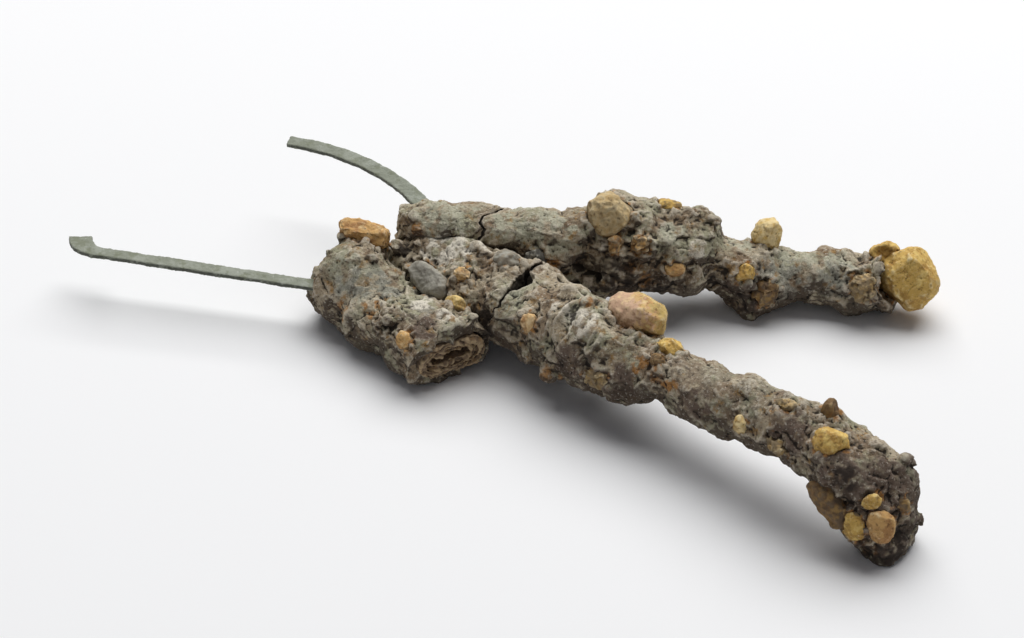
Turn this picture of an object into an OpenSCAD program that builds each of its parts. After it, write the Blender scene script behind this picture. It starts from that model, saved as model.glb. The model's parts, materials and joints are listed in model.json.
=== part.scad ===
// Three corroded iron strigils from one bather's set, as found.
// Two lie crossed and rusted together, the third is a broken handle beside them.
// Two ends of the flat bronze carrying hoop stick out of the crust, and gravel is cemented all over it.
// Millimetres, +Z up; the group rests on the plane Z = 0.

/* [Front strigil] */
// Straight length from the handle end to the bend of the blade
front_run = 198; // [170:1:225]
// Rise of the straight length above the table, in degrees
front_rise = 5; // [3:0.5:8]
// Radius of the bend where the blade turns down to the table
front_bend = 26; // [20:1:32]
// Half width of the crusted handle
front_girth = 12.5; // [10.5:0.5:15]
// Distance from the handle end to the crack across the shank
front_crack = 58; // [48:1:66]
// Height of the underside of the handle end above the table
front_lift = 2; // [1:0.5:4]

/* [Rear strigil] */
// Length of the rear strigil from the handle end to the socket of its end cobble
rear_run = 190; // [165:1:215]
// Angle in plan between the two crossed strigils
cross_angle = 35; // [30:1:42]
// Half width of the crusted handle
rear_girth = 10; // [8.5:0.5:12]
// Height of the blade's middle line where it lies along the table
rear_low = 12; // [10:0.5:14]
// Sideways sway of the shank in plan
rear_sway = 4; // [0:0.5:6]
// Distance from the handle end to the crack across the shank
rear_crack = 34; // [28:1:42]
// Depth to which the two crossed handles have rusted into each other
cross_bond = 5.5; // [3:0.5:8]
// Distance of the rear handle end behind the front one
rear_back = 3; // [0:0.5:5]

/* [Broken handle] */
// Length of the broken handle
stub_run = 66; // [58:1:76]
// Half width of the crusted handle
stub_girth = 16; // [14:0.5:18]
// Half height of the crusted handle
stub_height = 12.5; // [11:0.5:14]
// How far its blind end reaches behind the end of the front strigil
stub_lead = 13; // [9:1:17]
// Angle in plan by which it splays away from the front strigil
stub_splay = 5; // [0:0.5:8]
// Width of the oval iron wall seen in the break
wall_width = 27; // [22:0.5:30]
// Height of the oval iron wall
wall_height = 13.5; // [12:0.5:15]
// Thickness of the oval wall and of the lining inside it
wall_thickness = 2.6; // [1.6:0.1:3]
// Depth of the oval wall behind the break
wall_depth = 34; // [24:1:42]
// Slant of the break across the handle, in degrees
break_slant = 15; // [0:1:22]

/* [Iron cores] */
// Length of the iron bar that still bridges each crack
core_length = 34; // [24:1:40]
// Width of the iron bar
core_width = 11; // [8:0.5:12]
// Thickness of the iron bar
core_thickness = 3.4; // [2.4:0.1:4.4]

/* [Bronze hoop] */
// Width of the flat bronze strip
strip_width = 5.2; // [4:0.1:6]
// Thickness of the strip
strip_thickness = 1.7; // [1.2:0.1:2.4]
// Length of the straight strip up to its hook
hook_run = 100; // [80:1:114]
// Radius of the hooked terminal
hook_radius = 10; // [8:0.5:13]
// Width across the flared end of the hook
hook_flare = 8.6; // [6:0.1:11]
// Direction of the straight strip in plan
hook_bearing = 168; // [162:1:174]
// Radius of the curved strip
curve_radius = 91; // [75:1:110]
// Width of the curved strip where it leaves the handle
curve_width = 6.4; // [5:0.1:7.5]
// Direction of the curved strip where it leaves the handle
curve_bearing = 113; // [106:1:120]
// Angle swept by the curved strip
curve_sweep = 52; // [40:1:60]
// Fall of the curved strip towards its broken end, in degrees
curve_fall = 6; // [2:0.5:9]

/* [Crust and seats] */
// Height of the lumps in the crust
crust_lump = 1.1; // [0.4:0.1:1.6]
// Roughness of the crust from point to point
crust_rough = 0.35; // [0:0.05:0.5]
// Open width of the two cracks
crack_gap = 0.9; // [0.6:0.1:1.4]
// Depth worn flat where the crust rests on the table
rest_wear = 0.8; // [0.4:0.1:1.4]
// Clearance of every stone, strip and core in its seat
seat_clearance = 0.15; // [0.1:0.05:0.3]

/* [Stones on the rear strigil] */
// Angular cobble that ends the rear strigil: along, across, high
end_cobble = [25, 26, 29]; // [18:0.5:34]
// Golden nodule on the back of the end cobble
end_nodule = [13, 10, 10]; // [7:0.5:13]
// Golden pebble on the ledge where the shank steps down
ledge_pebble = [12, 11, 14]; // [8:0.5:15]
// Broad tan pebble on the saddle of the shank
saddle_pebble = [18.5, 19, 16.5]; // [13:0.5:21]
// Left one of two small orange stones
bud_left = [6.5, 9, 6.5]; // [4:0.5:11]
// Right one of two small orange stones
bud_right = [7, 8, 6.5]; // [4:0.5:11]
// Flat yellow stone on the belly of the shank
belly_pebble = [9, 6, 6]; // [5:0.5:11]
// Golden stone on the crown of the shank
crown_pebble = [10.5, 8, 6]; // [5:0.5:12]
// Yellow stone below the step
step_pebble = [8.5, 7.5, 7]; // [5:0.5:10]
// Brown stone at the foot of the step
foot_pebble = [10, 11, 8.5]; // [6:0.5:12]
// Round tan stone near the end cobble
blade_pebble = [11.5, 11, 9.5]; // [6:0.5:13]
// Dark wedge-shaped stone under the shank, between the two strigils
wedge_stone = [10.5, 9, 11]; // [7:0.5:13]

/* [Stones on the front strigil] */
// Broad cobble on the back of the shank
ridge_cobble = [29, 19, 16.5]; // [14:0.5:34]
// Slanting yellow pebble beside it
slant_pebble = [11.5, 9, 8]; // [5:0.5:12]
// Orange pebble near the crack
crack_pebble = [6.5, 8.5, 7]; // [5:0.5:10]
// Tan stone low on the shank
low_pebble = [12, 7.5, 6.5]; // [5:0.5:14]
// Rust-red stone on the narrow of the shank
rust_pebble = [7.5, 5.5, 5]; // [4:0.5:9]
// Small yellow stone on the blade
side_pebble = [5.5, 7.5, 5]; // [4:0.5:9]
// Long beige stone before the bend
crest_pebble = [10.5, 5.5, 5.5]; // [5:0.5:15]
// Tan stone under the crest stone
hip_pebble = [9, 6, 5.5]; // [4:0.5:10]
// Dark knob that stands up on the bend
bend_knob = [6, 8, 10]; // [5:0.5:11]
// Golden cobble on the outside of the bend
bend_cobble = [13.5, 11, 9]; // [8:0.5:15]
// Thick brown slab on the side of the bend
bend_slab = [22, 12, 10]; // [9:0.5:25]
// Yellow pebble on the tip
tip_yellow = [11.5, 10, 8]; // [6:0.5:13]
// Orange pebble on the tip
tip_orange = [13, 10.5, 8]; // [6:0.5:14]
// Small grain above the two tip pebbles
tip_grain = [5.5, 7, 5]; // [4:0.5:8]
// Reddish grain on the outer side of the tip
tip_red = [5.5, 5, 5]; // [4:0.5:7]
// Orange pebble on the handle
handle_pebble = [7.5, 6, 6]; // [4:0.5:9]
// Smooth dark lens that lies in the valley beside the broken handle
valley_lens = [23, 11, 9]; // [7:0.5:32]
// Round dark knob on the back of the handle
ring_knob = [11, 10, 9]; // [6:0.5:13]

/* [Stones on the broken handle] */
// Large orange cobble at the blind end
back_cobble = [24, 13, 10]; // [8:0.5:26]
// Yellow pebble near the break
break_pebble = [9.5, 8, 7.5]; // [5:0.5:11]
// Orange-brown pebble on the front of the handle
front_grain = [8, 7, 5.5]; // [4:0.5:9]

/* [Hidden] */

$fn = 32;
sides = 24;
ring_step = 0.28 * front_girth;
table = 2 * (front_run + hook_run);
// The group is moved so that its box is centred over the origin
shift = [-40, 54.2, 0];

// Places of the three strigils
front_bearing = -40;
rear_bearing = front_bearing + cross_angle;
front_base = front_lift + 0.96 * front_girth;
front_dive = -72;
front_arc = front_bend * (front_rise - front_dive) * PI / 180;
front_top = front_base + front_run * sin(front_rise);
front_drop = front_bend * (cos(front_rise) - cos(front_dive));
front_tip = (front_drop - front_top) / sin(front_dive);
front_end = front_run + front_arc + front_tip;
rear_high = front_base + 0.96 * front_girth + rear_girth - cross_bond;
stub_base = stub_height - rest_wear;
stub_aside = front_girth + 0.75 * stub_girth;

// Half width of each strigil by share of its run, as a multiple of its girth
front_form = [[0, 0.62], [0.03, 0.92], [0.14, 1], [0.27, 1], [0.4, 1.08], [0.58, 1.06], [0.665, 0.82],
  [0.78, 0.83], [0.91, 0.88], [1, 1], [1.085, 1.12], [1.165, 1.06], [1.25, 0.86]];
rear_form = [[0, 0.7], [0.05, 1], [0.28, 1], [0.4, 1.08], [0.48, 1.35], [0.605, 1.5], [0.635, 1],
  [0.72, 1.1], [0.81, 0.95], [0.92, 0.93], [1, 1]];
stub_form = [[0, 0.7], [0.1, 1], [0.4, 1], [0.66, 0.92], [0.9, 1.06], [1, 1.1]];

// Lumps of crust: share of the run, angle round the strigil, then reach along, reach round and rise
// as multiples of the girth
front_lumps = [[0.05, 110, 0.7, 0.7, 0.24], [0.07, 78, 0.65, 0.65, 0.3], [0.135, 70, 0.75, 0.7, 0.4],
  [0.185, 58, 0.65, 0.65, 0.4], [0.26, 14, 0.95, 0.95, 0.56], [0.34, 4, 0.9, 0.9, 0.56],
  [0.37, 225, 0.7, 0.7, 0.24], [0.41, 100, 0.3, 0.8, 0.16], [0.41, 172, 0.4, 0.4, 0.14],
  [0.43, 208, 0.45, 0.45, 0.2], [0.435, 125, 0.28, 0.8, 0.18], [0.46, 72, 0.8, 0.8, 0.32],
  [0.47, 120, 0.26, 0.8, 0.18], [0.5, 222, 0.7, 0.7, 0.28], [0.505, 128, 0.28, 0.8, 0.2],
  [0.54, 138, 0.26, 0.7, 0.16], [0.6, 208, 0.6, 0.6, 0.22], [0.7, 150, 0.5, 0.5, 0.1],
  [0.8, 250, 0.8, 0.8, 0.16], [0.84, 95, 0.6, 0.5, 0.1], [1.04, 262, 0.95, 0.95, 0.32],
  [1.09, 60, 0.4, 0.4, 0.2], [1.125, 46, 0.35, 0.35, 0.26], [1.135, 72, 0.5, 0.5, 0.24],
  [1.22, 60, 0.55, 0.55, 0.12]];
rear_lumps = [[0.1, 150, 0.8, 0.8, 0.15], [0.41, 58, 0.6, 0.6, 0.25], [0.44, 250, 1, 1, 0.8],
  [0.46, 65, 0.8, 0.8, 0.5], [0.48, 212, 0.6, 0.6, 0.2], [0.5, 262, 0.9, 0.9, 0.6],
  [0.525, 140, 0.7, 0.35, 0.12], [0.53, 205, 0.9, 0.9, 0.2], [0.555, 76, 0.5, 0.6, 0.2],
  [0.57, 60, 0.8, 0.9, 0.28], [0.595, 88, 0.4, 0.7, 0.14], [0.69, 174, 0.5, 0.6, 0.22],
  [0.72, 208, 0.6, 0.6, 0.25], [0.73, 255, 1, 1, 0.6], [0.85, 70, 0.8, 0.8, 0.15],
  [0.94, 265, 1, 1, 0.45]];
stub_lumps = [[0.12, 104, 0.4, 0.35, 0.14], [0.14, 60, 0.9, 0.9, 0.5], [0.24, 92, 0.45, 0.35, 0.14],
  [0.34, 100, 0.55, 0.55, 0.1], [0.55, 150, 0.5, 0.5, 0.1], [0.61, 126, 0.3, 0.3, 0.1],
  [0.9, 60, 0.55, 0.55, 0.1], [0.93, 100, 0.25, 0.5, 0.12]];

function smooth(t) = let (u = max(0, min(1, t))) u * u * (3 - 2 * u);
function unit(v) = v / norm(v);
function wrap(a) = ((a + 180) % 360 + 360) % 360 - 180;

// Run, girth and bearing of each strigil
function run(arm) = arm == "front" ? front_run : arm == "rear" ? rear_run : stub_run;
function girth(arm) = arm == "front" ? front_girth : arm == "rear" ? rear_girth : stub_girth;
function bearing(arm) =
  arm == "rear" ? rear_bearing : arm == "front" ? front_bearing : front_bearing - stub_splay;

// Plan distance and height along the front strigil: straight, bend, then down to the table
function front_line(s) =
  s <= front_run ? [s * cos(front_rise), front_base + s * sin(front_rise)] :
  s <= front_run + front_arc ?
    let (p = front_rise - (s - front_run) / front_bend * 180 / PI)
    [front_run * cos(front_rise) + front_bend * (sin(front_rise) - sin(p)),
     front_top + front_bend * (cos(p) - cos(front_rise))] :
    let (e = s - front_run - front_arc)
    [front_run * cos(front_rise) + front_bend * (sin(front_rise) - sin(front_dive)) + e * cos(front_dive),
     front_top - front_drop + e * sin(front_dive)];

// Along, aside and height of a point on the middle line of a strigil
function line(arm, s) =
  arm == "front" ? let (f = front_line(s)) [f.x, 0, f.y] :
  arm == "rear" ? [s, rear_back - rear_sway * sin(360 * s / (1.07 * rear_run)),
    rear_high + (rear_low - rear_high) * smooth((s / rear_run - 0.39) / 0.4)] :
  [s - stub_lead, -stub_aside, stub_base];

function aside(arm) = [-sin(bearing(arm)), cos(bearing(arm)), 0];
function spine(arm, s) =
  let (p = line(arm, s), b = bearing(arm))
  p.x * [cos(b), sin(b), 0] + p.y * aside(arm) + [0, 0, p.z];
function tangent(arm, s) = unit(spine(arm, s + 0.5) - spine(arm, s - 0.5));
function outward(arm, s, a) =
  cos(a) * aside(arm) + sin(a) * unit(cross(tangent(arm, s), aside(arm)));

// Half width and half height of the plain section
function half_width(arm, s) =
  let (t = s / run(arm))
  arm == "front" ? front_girth * lookup(t, front_form) :
  arm == "rear" ? rear_girth * lookup(t, rear_form) : stub_girth * lookup(t, stub_form);
function half_height(arm, s) =
  arm == "front" ? let (t = s / front_run)
    half_width(arm, s) * (1 - 0.34 * smooth((t - 0.95) / 0.07) + 0.17 * smooth((t - 1.09) / 0.08)) :
  arm == "rear" ? half_width(arm, s) : stub_height * min(1, lookup(s / stub_run, stub_form));

// Crust surface: an oval section, rolling lumps and the named lumps
function oval(w, h, a) = pow(pow(abs(cos(a)) / w, 2.3) + pow(abs(sin(a)) / h, 2.3), -1 / 2.3);
function named_lumps(arm) = arm == "front" ? front_lumps : arm == "rear" ? rear_lumps : stub_lumps;
function lump_rise(arm, s, a, r) =
  let (g = girth(arm), rises = [for (k = named_lumps(arm))
    g * k[4] * exp(-pow((s - k[0] * run(arm)) / (g * k[2]), 2)
      - pow(r * wrap(a - k[1]) * PI / 180 / (g * k[3]), 2))])
  rises * [for (k = rises) 1];
function rolling(s, a) =
  let (t = s / front_girth)
  0.5 * sin(155 * t + 2 * a + 40) + 0.4 * sin(265 * t - 3 * a) + 0.3 * sin(346 * t + 4 * a + 110);
function plain_radius(arm, s, a) =
  let (r = oval(half_width(arm, s), half_height(arm, s), a)) r + lump_rise(arm, s, a, r);
function radius(arm, s, a) = plain_radius(arm, s, a) + crust_lump * rolling(s, a);

// Uneven line of a crack round the section
function jag(a) = front_girth * (0.18 * sin(a - 30) + 0.1 * sin(3 * a + 20));
// The break of the third handle runs on further at the back than at the front
function end_slant(arm, a) = arm == "stub" ? stub_girth * tan(break_slant) * cos(a) : 0;

// Length of crust between two stations; jag_from and jag_to are 1 where that end is a crack
module crust(arm, from, to, jag_from = 0, jag_to = 0, seed = 1, grow = 0) {
  rings = ceil((to - from) / ring_step);
  noise = rands(-crust_rough, crust_rough, (rings + 1) * sides, seed);
  skin = [for (i = [0:rings]) for (j = [0:sides - 1])
    let (a = 360 * j / sides,
      s0 = from + jag_from * jag(a) - grow,
      s1 = to + jag_to * jag(a) + end_slant(arm, a) + grow,
      s = s0 + (s1 - s0) * i / rings)
    spine(arm, s) + (radius(arm, s, a) + noise[i * sides + j] + grow) * outward(arm, s, a)];
  ends = [spine(arm, from - grow - (1 - jag_from) * 0.16 * front_girth), spine(arm, to + grow)];
  last = rings * sides;
  polyhedron(
    points = concat(skin, ends),
    faces = concat(
      [for (i = [0:rings - 1]) for (j = [0:sides - 1]) let (k = (j + 1) % sides)
        each [[i * sides + j, (i + 1) * sides + j, (i + 1) * sides + k],
          [i * sides + j, (i + 1) * sides + k, i * sides + k]]],
      [for (j = [0:sides - 1]) [len(skin), j, (j + 1) % sides]],
      [for (j = [0:sides - 1]) [len(skin) + 1, last + (j + 1) % sides, last + j]]),
    convexity = 8);
}

// Everything below the table is cut away
module on_table() {
  difference() {
    children();
    translate([-table / 2, -table / 2, -table / 4])
      cube([table, table, table / 4]);
  }
}

// Local frame at a station: X along the strigil, Z outward at the given angle
module at_station(arm, s, a, out) {
  t = tangent(arm, s);
  o = outward(arm, s, a);
  w = cross(o, t);
  p = spine(arm, s) + out * o;
  multmatrix([[t.x, w.x, o.x, p.x], [t.y, w.y, o.y, p.y], [t.z, w.z, o.z, p.z], [0, 0, 0, 1]])
    children();
}

// Angular stone: the hull of points spread round an ellipsoid
module stone(size, seed, grow = 0) {
  count = max(size) > front_girth ? 44 : 26;
  push = rands(0.84, 1.06, count, seed);
  turn = rands(0, 360, 1, seed + 50)[0];
  points = [for (k = [0:count - 1])
    let (z = 1 - 2 * (k + 0.5) / count, f = k * 137.5 + turn, r = sqrt(1 - z * z))
    [push[k] * r * cos(f) * (size.x / 2 + grow), push[k] * r * sin(f) * (size.y / 2 + grow),
     push[k] * z * (size.z / 2 + grow)]];
  hull()
    polyhedron(points = points, faces = [[for (k = [0:count - 1]) k]]);
}

// Stone in its seat; a row holds strigil, share of run, angle, size, turn, share sunk and seed
module seated(row, grow = 0) {
  s = row[1] * run(row[0]);
  size = row[3];
  at_station(row[0], s, row[2], plain_radius(row[0], s, row[2]) + (0.5 - row[5]) * size.z)
    rotate([0, 0, row[4]])
      stone(size, row[6], grow);
}

// Seats of the stones
end_cobble_seat = ["rear", 1.03, 90, end_cobble, 15, 0.72, 3];
end_nodule_seat = ["rear", 0.982, 60, end_nodule, 0, 0.36, 4];
ledge_seat = ["rear", 0.725, 66, ledge_pebble, 20, 0.22, 5];
saddle_seat = ["rear", 0.416, 98, saddle_pebble, 30, 0.5, 6];
bud_left_seat = ["rear", 0.436, 154, bud_left, 0, 0.45, 7];
bud_right_seat = ["rear", 0.477, 146, bud_right, 10, 0.45, 8];
belly_seat = ["rear", 0.555, 170, belly_pebble, 10, 0.48, 9];
crown_seat = ["rear", 0.517, 66, crown_pebble, 0, 0.4, 10];
step_seat = ["rear", 0.692, 150, step_pebble, 25, 0.45, 11];
foot_seat = ["rear", 0.744, 178, foot_pebble, 0, 0.45, 12];
blade_seat = ["rear", 0.937, 157, blade_pebble, 0, 0.48, 13];
wedge_seat = ["rear", 0.281, 195, wedge_stone, 0, 0.3, 14];
ridge_seat = ["front", 0.561, 58, ridge_cobble, -8, 0.34, 15];
slant_seat = ["front", 0.66, 80, slant_pebble, -20, 0.42, 16];
crack_seat = ["front", 0.382, 144, crack_pebble, 0, 0.48, 17];
low_seat = ["front", 0.552, 185, low_pebble, 10, 0.5, 18];
rust_seat = ["front", 0.658, 118, rust_pebble, 0, 0.45, 19];
side_seat = ["front", 0.867, 168, side_pebble, 0, 0.45, 20];
crest_seat = ["front", 0.94, 104, crest_pebble, 12, 0.5, 21];
hip_seat = ["front", 0.95, 178, hip_pebble, 0, 0.48, 22];
knob_seat = ["front", 1.004, 70, bend_knob, 0, 0.26, 23];
bend_seat = ["front", 1.035, 128, bend_cobble, 25, 0.48, 24];
slab_seat = ["front", 1.108, 207, bend_slab, 4, 0.26, 25];
yellow_seat = ["front", 1.166, 184, tip_yellow, 0, 0.42, 26];
orange_seat = ["front", 1.17, 142, tip_orange, 10, 0.45, 27];
grain_seat = ["front", 1.132, 142, tip_grain, 0, 0.5, 28];
red_seat = ["front", 1.156, 94, tip_red, 0, 0.45, 29];
handle_seat = ["front", 0.195, 118, handle_pebble, 0, 0.45, 30];
lens_seat = ["front", 0.133, 146, valley_lens, -18, 0.36, 31];
ring_seat = ["front", 0.251, 65, ring_knob, 0, 0.4, 32];
back_seat = ["stub", 0.115, 62, back_cobble, 42, 0.32, 33];
break_seat = ["stub", 0.85, 42, break_pebble, 0, 0.34, 34];
grain_front_seat = ["stub", 0.84, 148, front_grain, 0, 0.5, 35];

// Iron bar that bridges a crack, along the middle line
module core_bar(arm, crack, grow = 0) {
  at_station(arm, crack, 90, 0)
    cube([core_length + 2 * grow, core_width + 2 * grow, core_thickness + 2 * grow], center = true);
}

// Oval prism behind the break of the third handle, from the break inwards
module break_oval(width, height, from, depth) {
  at_station("stub", stub_run, 90, 0)
    translate([from - depth, 0, 0])
      rotate([90, 0, 90])
        linear_extrude(depth)
          union() {
            square([width - height, height], center = true);
            for (x = [-1, 1])
              translate([x * (width - height) / 2, 0])
                circle(d = height);
          }
}

// Everything in front of the slanting break
module beyond_break(proud) {
  at_station("stub", stub_run, 90, 0)
    rotate([0, 0, -break_slant])
      translate([proud, -3 * stub_girth, -3 * stub_height])
        cube([4 * stub_girth, 6 * stub_girth, 6 * stub_height]);
}

// Plan outline of the straight strip and its flared hook
function hook_point(q) =
  q <= hook_run ? [q, 0] :
  let (f = (q - hook_run) / hook_radius * 180 / PI)
  [hook_run + hook_radius * sin(f), -hook_radius * (1 - cos(f))];
function hook_turn(q) = q <= hook_run ? 0 : -(q - hook_run) / hook_radius * 180 / PI;
hook_end = hook_run + hook_radius * 75 * PI / 180;
function hook_half(q, grow) =
  let (f = smooth((q - hook_run + 0.4 * strip_width) / (hook_end - hook_run)))
  grow + strip_width / 2 + (hook_flare - strip_width) / 2 * f;
function hook_edge(q, hand, grow) =
  hook_point(q) + hand * hook_half(q, grow) * [-sin(hook_turn(q)), cos(hook_turn(q))];
flare_start = hook_run - 0.6 * strip_width;
hook_stations = concat([0, hook_run - 1.2 * strip_width],
  [for (k = [0:9]) flare_start + (hook_end - flare_start) * k / 9]);

module hook_strip(grow = 0) {
  root = spine("stub", 0.26 * stub_run) - 0.3 * stub_girth * aside("stub") + [0, 0, 0.5 * stub_height];
  translate(root)
    rotate([0, -1.5, hook_bearing])
      translate([-grow, 0, -strip_thickness / 2 - grow])
        linear_extrude(strip_thickness + 2 * grow)
          polygon(concat([for (q = hook_stations) hook_edge(q, 1, grow)],
            [for (k = [len(hook_stations) - 1:-1:0]) hook_edge(hook_stations[k], -1, grow)]));
}

// Curved strip: a flat arc that leaves the rear handle, narrows and falls away
function curve_half(f, grow) = grow + (curve_width + (strip_width - curve_width) * f) / 2;
function curve_edge(f, hand, grow) =
  (curve_radius + hand * curve_half(f, grow)) * [cos(curve_sweep * f), sin(curve_sweep * f)];
module curve_strip(grow = 0) {
  root = spine("rear", 0.08 * rear_run) + rear_girth * [0, -0.25, 0.3];
  start = curve_bearing - 90;
  steps = 20;
  translate(root)
    rotate(a = curve_fall, v = [cos(start - 45), sin(start - 45), 0])
      translate([-curve_radius * cos(start), -curve_radius * sin(start), -strip_thickness / 2 - grow])
        rotate([0, 0, start])
          linear_extrude(strip_thickness + 2 * grow)
            polygon(concat([for (k = [0:steps]) curve_edge(k / steps, 1, grow)],
              [for (k = [steps:-1:0]) curve_edge(k / steps, -1, grow)]));
}

// Plain crust of the pieces, before their seats are cut
module plain_front_handle(grow = 0) {
  crust("front", 0, front_crack - crack_gap / 2, 0, 1, 101, grow);
}
module plain_front_blade(grow = 0) {
  crust("front", front_crack + crack_gap / 2, front_end + 1, 1, 0, 102, grow);
}
module plain_rear_handle(grow = 0) {
  crust("rear", 0, rear_crack - crack_gap / 2, 0, 1, 103, grow);
}

// Handle part of the front strigil
module front_handle() {
  color("#6e6452")
    difference() {
      on_table()
        plain_front_handle();
      core_bar("front", front_crack, seat_clearance);
      core_bar("rear", rear_crack, seat_clearance);
      for (row = [handle_seat, lens_seat, ring_seat, break_seat, back_seat, wedge_seat])
        seated(row, seat_clearance);
    }
}

// Blade of the front strigil: shank, bend and tip
module front_blade() {
  color("#6a6150")
    difference() {
      on_table()
        plain_front_blade();
      core_bar("front", front_crack, seat_clearance);
      for (row = [ridge_seat, slant_seat, crack_seat, low_seat, rust_seat, side_seat, crest_seat, hip_seat,
          knob_seat, bend_seat, slab_seat, yellow_seat, orange_seat, grain_seat, red_seat, ring_seat,
          wedge_seat])
        seated(row, seat_clearance);
    }
}

// Iron bar in the front crack
module front_core() {
  color("#3d3128")
    core_bar("front", front_crack);
}

// Handle part of the rear strigil, lying across the front handle
module rear_handle() {
  color("#716856")
    difference() {
      plain_rear_handle();
      plain_front_handle(seat_clearance);
      core_bar("rear", rear_crack, seat_clearance);
      curve_strip(seat_clearance);
      for (row = [ring_seat, back_seat])
        seated(row, seat_clearance);
    }
}

// Blade of the rear strigil: shank, step and the part along the table
module rear_blade() {
  color("#6c6453")
    difference() {
      on_table()
        crust("rear", rear_crack + crack_gap / 2, rear_run, 1, 0, 104);
      plain_front_handle(seat_clearance);
      plain_front_blade(seat_clearance);
      core_bar("rear", rear_crack, seat_clearance);
      for (row = [end_cobble_seat, end_nodule_seat, ledge_seat, saddle_seat, bud_left_seat, bud_right_seat,
          belly_seat, crown_seat, step_seat, foot_seat, blade_seat, wedge_seat, ring_seat])
        seated(row, seat_clearance);
    }
}

// Iron bar in the rear crack
module rear_core() {
  color("#3d3128")
    core_bar("rear", rear_crack);
}

// Crust of the broken handle, open at the break
module stub_crust() {
  color("#6b604c")
    difference() {
      on_table()
        crust("stub", 0, stub_run, 0, 0.6, 105);
      plain_front_handle(seat_clearance);
      plain_front_blade(seat_clearance);
      break_oval(wall_width + 2 * seat_clearance, wall_height + 2 * seat_clearance,
        1.25 * stub_girth, wall_depth + 1.25 * stub_girth);
      hook_strip(seat_clearance);
      for (row = [back_seat, break_seat, grain_front_seat, lens_seat])
        seated(row, seat_clearance);
    }
}

// Oval iron wall of the broken handle
module stub_wall() {
  color("#54402f")
    difference() {
      break_oval(wall_width, wall_height, 0.5 * stub_girth, wall_depth + 0.5 * stub_girth - seat_clearance);
      break_oval(wall_width - 2 * wall_thickness, wall_height - 2 * wall_thickness,
        stub_girth, wall_depth + 1.5 * stub_girth);
      beyond_break(0.6 * wall_thickness);
    }
}

// Split inner layer of the broken handle, with the dark slit between its leaves
module stub_lining() {
  gap = seat_clearance;
  width = wall_width - 2 * wall_thickness - 2 * gap;
  height = wall_height - 2 * wall_thickness - 2 * gap;
  color("#48372a")
    difference() {
      break_oval(width, height, 0.5 * stub_girth, wall_depth - 0.8 * wall_thickness + 0.5 * stub_girth);
      break_oval(width - 2 * wall_thickness, height - 1.8 * wall_thickness,
        stub_girth, wall_depth + 1.5 * stub_girth);
      beyond_break(0.2 * wall_thickness);
    }
}

// Straight bronze strip with its hooked terminal
module hoop_hook() {
  color("#8f9883")
    hook_strip();
}

// Curved bronze strip with its broken end
module hoop_curve() {
  color("#8b947f")
    curve_strip();
}

// Stones
module rear_end_cobble() {
  color("#b08a45")
    on_table()
      seated(end_cobble_seat);
}
module rear_end_nodule() {
  color("#a8853f")
    difference() {
      seated(end_nodule_seat);
      seated(end_cobble_seat, seat_clearance);
    }
}
module rear_ledge_pebble() {
  color("#b58d4a")
    seated(ledge_seat);
}
module rear_saddle_pebble() {
  color("#a98a5c")
    seated(saddle_seat);
}
module rear_bud_left() {
  color("#b87a3c")
    difference() {
      seated(bud_left_seat);
      seated(saddle_seat, seat_clearance);
    }
}
module rear_bud_right() {
  color("#b87a3c")
    seated(bud_right_seat);
}
module rear_belly_pebble() {
  color("#c08a44")
    seated(belly_seat);
}
module rear_crown_pebble() {
  color("#a07c42")
    seated(crown_seat);
}
module rear_step_pebble() {
  color("#ab8c4c")
    seated(step_seat);
}
module rear_foot_pebble() {
  color("#8a6a48")
    on_table()
      seated(foot_seat);
}
module rear_blade_pebble() {
  color("#a08055")
    difference() {
      seated(blade_seat);
      seated(end_cobble_seat, seat_clearance);
    }
}
module rear_wedge_stone() {
  color("#4c4640")
    difference() {
      seated(wedge_seat);
      seated(ring_seat, seat_clearance);
    }
}
module front_ridge_cobble() {
  color("#b88f58")
    seated(ridge_seat);
}
module front_slant_pebble() {
  color("#b99a52")
    seated(slant_seat);
}
module front_crack_pebble() {
  color("#bd8440")
    seated(crack_seat);
}
module front_low_pebble() {
  color("#a3855a")
    seated(low_seat);
}
module front_rust_pebble() {
  color("#a5623a")
    difference() {
      seated(rust_seat);
      seated(slant_seat, seat_clearance);
    }
}
module front_side_pebble() {
  color("#b39550")
    seated(side_seat);
}
module front_crest_pebble() {
  color("#a8946c")
    seated(crest_seat);
}
module front_hip_pebble() {
  color("#9c8256")
    seated(hip_seat);
}
module front_bend_knob() {
  color("#574330")
    seated(knob_seat);
}
module front_bend_cobble() {
  color("#bf8c46")
    seated(bend_seat);
}
module front_bend_slab() {
  color("#8d6d45")
    seated(slab_seat);
}
module front_tip_yellow() {
  color("#b89550")
    difference() {
      seated(yellow_seat);
      seated(orange_seat, seat_clearance);
      seated(slab_seat, seat_clearance);
    }
}
module front_tip_orange() {
  color("#bb7f3f")
    seated(orange_seat);
}
module front_tip_grain() {
  color("#b18a4e")
    difference() {
      seated(grain_seat);
      seated(yellow_seat, seat_clearance);
      seated(orange_seat, seat_clearance);
      seated(bend_seat, seat_clearance);
    }
}
module front_tip_red() {
  color("#9a5d3c")
    difference() {
      seated(red_seat);
      seated(orange_seat, seat_clearance);
    }
}
module front_handle_pebble() {
  color("#b5773b")
    seated(handle_seat);
}
module front_valley_lens() {
  color("#4f4a47")
    difference() {
      seated(lens_seat);
      seated(break_seat, seat_clearance);
    }
}
module front_ring_knob() {
  color("#4d4540")
    seated(ring_seat);
}
module stub_back_cobble() {
  color("#c08a48")
    seated(back_seat);
}
module stub_break_pebble() {
  color("#b99048")
    seated(break_seat);
}
module stub_front_grain() {
  color("#a8713c")
    seated(grain_front_seat);
}

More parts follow.
